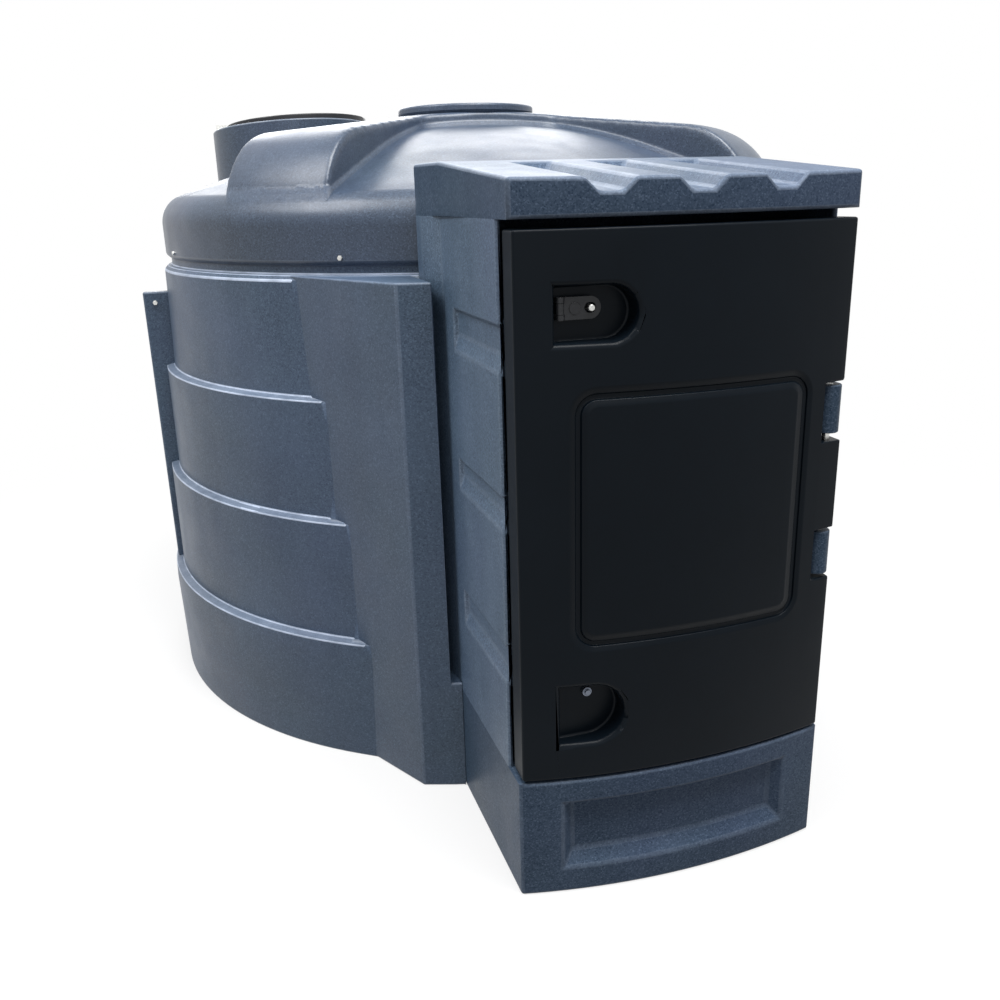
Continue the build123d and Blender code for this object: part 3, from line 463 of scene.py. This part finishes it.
# Small metal: bolts, hasp and hinge bracket in zinc plated steel, dulled by weather. The bolts are
# turned, the others are bent from sheet and screwed on.
zinc_steel, shader = new_material("zinc_steel", (0.62, 0.62, 0.60), 0.32, 1.0)
place = place_on_object()
spangle = tinted(noise(place, 180.0, 4.0), (0.42, 0.42, 0.40), (0.78, 0.78, 0.76))
lead(spangle, shader, "Base Color")
lead(between(noise(place, 90.0, 3.0), 0.22, 0.52), shader, "Roughness")
lead(bumped(noise(place, 700.0), 0.4, 0.0002), shader, "Normal")
moulding("bracket_bent", ["fill_hinge_bracket"], 0.0006, zinc_steel, "zinc_steel")
moulding("hasp_pressed", ["fill_lid_hasp"], 0.0010, zinc_steel, "zinc_steel", body="fill_lid")
moulding("rib_bolt_heads", ["rib_bolts"], 0.0008, zinc_steel, "zinc_steel")
moulding("cover_bolt_heads", ["cover_bolts"], 0.0008, zinc_steel, "zinc_steel")

# Cabinet: a hollow plinth, two side walls with pressed recesses, and a back plate behind them, all in
# the speckled plastic of the tank. The side walls are painted paler, as painted light falling from the
# left. They are moulded apart and fixed together.
cabinet_plastic = speckled_plastic(
    "cabinet_plastic", (0.014, 0.032, 0.056), (0.100, 0.142, 0.204), (0.42, 0.48, 0.58), 0.42, 0.10
)
# Side walls: the tank's plastic painted paler, as painted light falling from the left.
side_plastic_painted_lit = speckled_plastic(
    "cabinet_side_plastic_painted_lit", (0.026, 0.052, 0.089), (0.165, 0.236, 0.328), (0.42, 0.48, 0.58), 0.42, 0.40
)
front_edge = ((-0.42, -1.75, 0.0), (0.42, -1.60, 1.7), 0.012)
moulding(
    "plinth_moulding", ["cabinet_plinth"], 0.007, cabinet_plastic, "cabinet_plastic", sharpness=12.0
)
for side in ("left", "right"):
    moulding(
        "side_moulding_" + side, ["cabinet_side_" + side], 0.006, side_plastic_painted_lit, "cabinet_plastic",
        sharpness=8.0, places=[front_edge],
    )
moulding("knuckle_mouldings", ["hinge_knuckles"], 0.003, cabinet_plastic, "cabinet_plastic")
paint("cabinet_back", cabinet_plastic)
paint("hinge_pin", zinc_steel)

# Cabinet roof: one moulding in the plastic of the plinth, laid over the side walls and the back. Rain
# leaves it by three channels that run off at the front edge.
moulding(
    "roof_moulding", ["cabinet_roof"], 0.008, cabinet_plastic, "cabinet_plastic",
    sharpness=12.0, rub=0.2,
)

# Door: a bowed panel moulded in satin black plastic, with a ring groove and two hand recesses. It hangs
# on an upright pin, by a black knuckle between two grey ones.
groove_box = ((-0.28, -1.8, 0.60), (0.30, -1.5, 1.21), 0.0022)
groove_corner = 0.039
groove_centre = (0.0085, 0.909)
groove_half = (0.2605 - groove_corner, 0.271 - groove_corner)
groove_spread = 0.022
groove_depth = 0.008
upper_hand = ((-0.31, -1.8, 1.27), (-0.11, -1.66, 1.42), 0.012)
lower_hand = ((-0.31, -1.8, 0.38), (-0.13, -1.66, 0.56), 0.012)
door_plastic, shader = new_material("door_plastic", (0.006, 0.009, 0.014), 0.34, gloss=0.09)
place = place_on_object()
satin = tinted(noise(place, 3.0, 3.0), (0.0016, 0.0036, 0.0062), (0.0055, 0.0092, 0.0140))
lead(satin, shader, "Base Color")
lead(between(noise(place, 24.0, 4.0), 0.27, 0.41), shader, "Roughness")
relief = bumped(noise(place, 500.0), 0.25, 0.0004)
relief = bumped(noise(place, 3.5, 1.0), 0.5, 0.006, relief)
across = Wire.node("ShaderNodeSeparateXYZ", {0: place}, output=0)
upward = Wire.node("ShaderNodeSeparateXYZ", {0: place}, output=2)
past_x = reckoned("ABSOLUTE", across - groove_centre[0]) - groove_half[0]
past_z = reckoned("ABSOLUTE", upward - groove_centre[1]) - groove_half[1]
past_x = reckoned("MAXIMUM", past_x, 0.0)
past_z = reckoned("MAXIMUM", past_z, 0.0)
apart = reckoned("POWER", past_x * past_x + past_z * past_z, 0.5) - groove_corner
valley = Wire.node(
    "ShaderNodeMapRange",
    {0: reckoned("ABSOLUTE", apart), 1: 0.0, 2: groove_spread, 3: 0.0, 4: 1.0},
    interpolation_type="SMOOTHSTEP",
)
lead(bumped(valley, 1.0, groove_depth, relief), shader, "Normal")
moulding(
    "door_moulding", ["door_skin"], 0.006, door_plastic, "door_plastic", body="door",
    places=[groove_box, upper_hand, lower_hand], rub=0.0,
)
moulding("door_knuckle_moulding", ["door_knuckle"], 0.003, door_plastic, "door_plastic", body="door")
paint("door_liner", door_plastic)

# Latch: a flap in black painted steel, hinged so that it closes over a plated staple in the upper
# recess. The lower recess holds the dull head of a plated bolt.
latch_black, shader = new_material("latch_black", (0.016, 0.017, 0.020), 0.4, gloss=0.3)
place = place_on_object()
chalky = tinted(noise(place, 120.0, 3.0), (0.010, 0.011, 0.013), (0.030, 0.032, 0.036))
lead(chalky, shader, "Base Color")
lead(between(noise(place, 60.0, 3.0), 0.28, 0.53), shader, "Roughness")
moulding("latch_flap_plate", ["latch_flap"], 0.0008, latch_black, "latch_black", body="latch_flap")
moulding("latch_hinge_plate", ["latch_hinge"], 0.0006, latch_black, "latch_black", body="door")
moulding("staple_pin", ["latch_staple"], 0.0005, zinc_steel, "zinc_steel", body="door")
dull_zinc, shader = new_material("dull_zinc", (0.16, 0.18, 0.22), 0.5, 1.0)
moulding("lower_bolt_head", ["lower_bolt"], 0.0008, dull_zinc, "zinc_steel", body="door")

# Floor: a wide pale sheet that takes the shadow of the tank and fades to plain white further out.
floor_size = 60.0
fade_start = 1.8
fade_run = 1.6
near_white = 0.70
for_bounces = (0.12, 0.12, 0.12)
for_the_camera = (0.80, 0.80, 0.80)
bpy.ops.object.select_all(action="DESELECT")
bpy.ops.mesh.primitive_plane_add(size=floor_size, location=(0, 0, 0))
floor = bpy.context.view_layer.objects.active
floor.name = "studio_floor"
floor_paint = bpy.data.materials.new("floor_paint")
floor_paint.use_nodes = True
Wire.tree = floor_paint.node_tree
paper = floor_paint.node_tree.nodes["Principled BSDF"]
paper.inputs["Roughness"].default_value = 0.9
paper.inputs["Specular IOR Level"].default_value = 0.0


def seen_directly():
    """One for what the camera sees, also by way of metal or glass, and nought for other light."""
    seen = Wire.node("ShaderNodeLightPath", output="Is Camera Ray")
    seen = seen + Wire.node("ShaderNodeLightPath", output="Is Glossy Ray")
    seen = seen + Wire.node("ShaderNodeLightPath", output="Is Transmission Ray")
    return reckoned("MINIMUM", seen, 1.0)


lead(tinted(seen_directly(), for_bounces, for_the_camera), paper, "Base Color")
apart = Wire.node("ShaderNodeVectorMath", {0: place_on_object()}, output=1, operation="LENGTH")
fade = Wire.node(
    "ShaderNodeMapRange",
    {0: apart, 1: fade_start, 2: fade_start + fade_run, 3: near_white, 4: 1.0},
    interpolation_type="SMOOTHSTEP",
)
white = Wire.node("ShaderNodeEmission", {"Color": (1, 1, 1, 1), "Strength": 1.0})
sheet = Wire.node(
    "ShaderNodeMixShader", {0: fade * seen_directly(), 1: Wire(paper.outputs[0]), 2: white}
)
Wire.tree.links.new(sheet.socket, Wire.tree.nodes["Material Output"].inputs["Surface"])
floor.data.materials.append(floor_paint)

# Light: an even sky that the camera sees as white, and wide soft lamps above, to the left, beyond
# the tank and in front of it.
world = bpy.data.worlds.new("sky")
bpy.context.scene.world = world
world.use_nodes = True
Wire.tree = world.node_tree
sky = world.node_tree.nodes["Background"]
sky_level = 0.22
sky.inputs["Color"].default_value = (1, 1, 1, 1)
lead(between(seen_directly(), sky_level, 1.0), sky, "Strength")


def lamp(name, size, power, place, aim):
    """A soft square lamp that looks at a point."""
    light = bpy.data.lights.new(name, "AREA")
    light.shape = "SQUARE"
    light.size = size
    light.energy = power
    made = bpy.data.objects.new(name, light)
    bpy.context.scene.collection.objects.link(made)
    made.location = place
    made.rotation_euler = (Vector(place) - Vector(aim)).to_track_quat("Z", "Y").to_euler()


lamp("above", 3.5, 560.0, (0.5, -2.5, 6.5), (0, -0.6, 1.0))
lamp("left", 3.0, 260.0, (-4.0, -1.0, 6.0), (-0.6, -0.8, 1.0))
lamp("beyond", 6.0, 470.0, (1.3, 8.5, 5.0), (0, -0.2, 1.6))
lamp("front", 5.0, 45.0, (-1.5, -8.0, 3.5), (0, -1.4, 0.9))

# Camera: at the photograph's place. Its eye, its directions and its focal length were solved from the
# round base and the door.
focal_pixels = 954.085
frame_pixels = 1000.0
sensor = 36.0
eye = Vector((-0.931217, -3.419244, 1.571336))
right = Vector((0.95677434, -0.28968551, -0.02579094))
down = Vector((-0.11233207, -0.28629494, -0.95153387))
forward = Vector((0.26826176, 0.91330034, -0.30646063))
camera_data = bpy.data.cameras.new("camera")
camera_data.sensor_width = sensor
camera_data.lens = focal_pixels / frame_pixels * sensor
camera = bpy.data.objects.new("camera", camera_data)
bpy.context.scene.collection.objects.link(camera)
turn = Matrix((right, -down, -forward)).transposed().to_4x4()
camera.matrix_world = Matrix.Translation(eye) @ turn
bpy.context.scene.camera = camera
bpy.context.scene.view_settings.view_transform = "Standard"
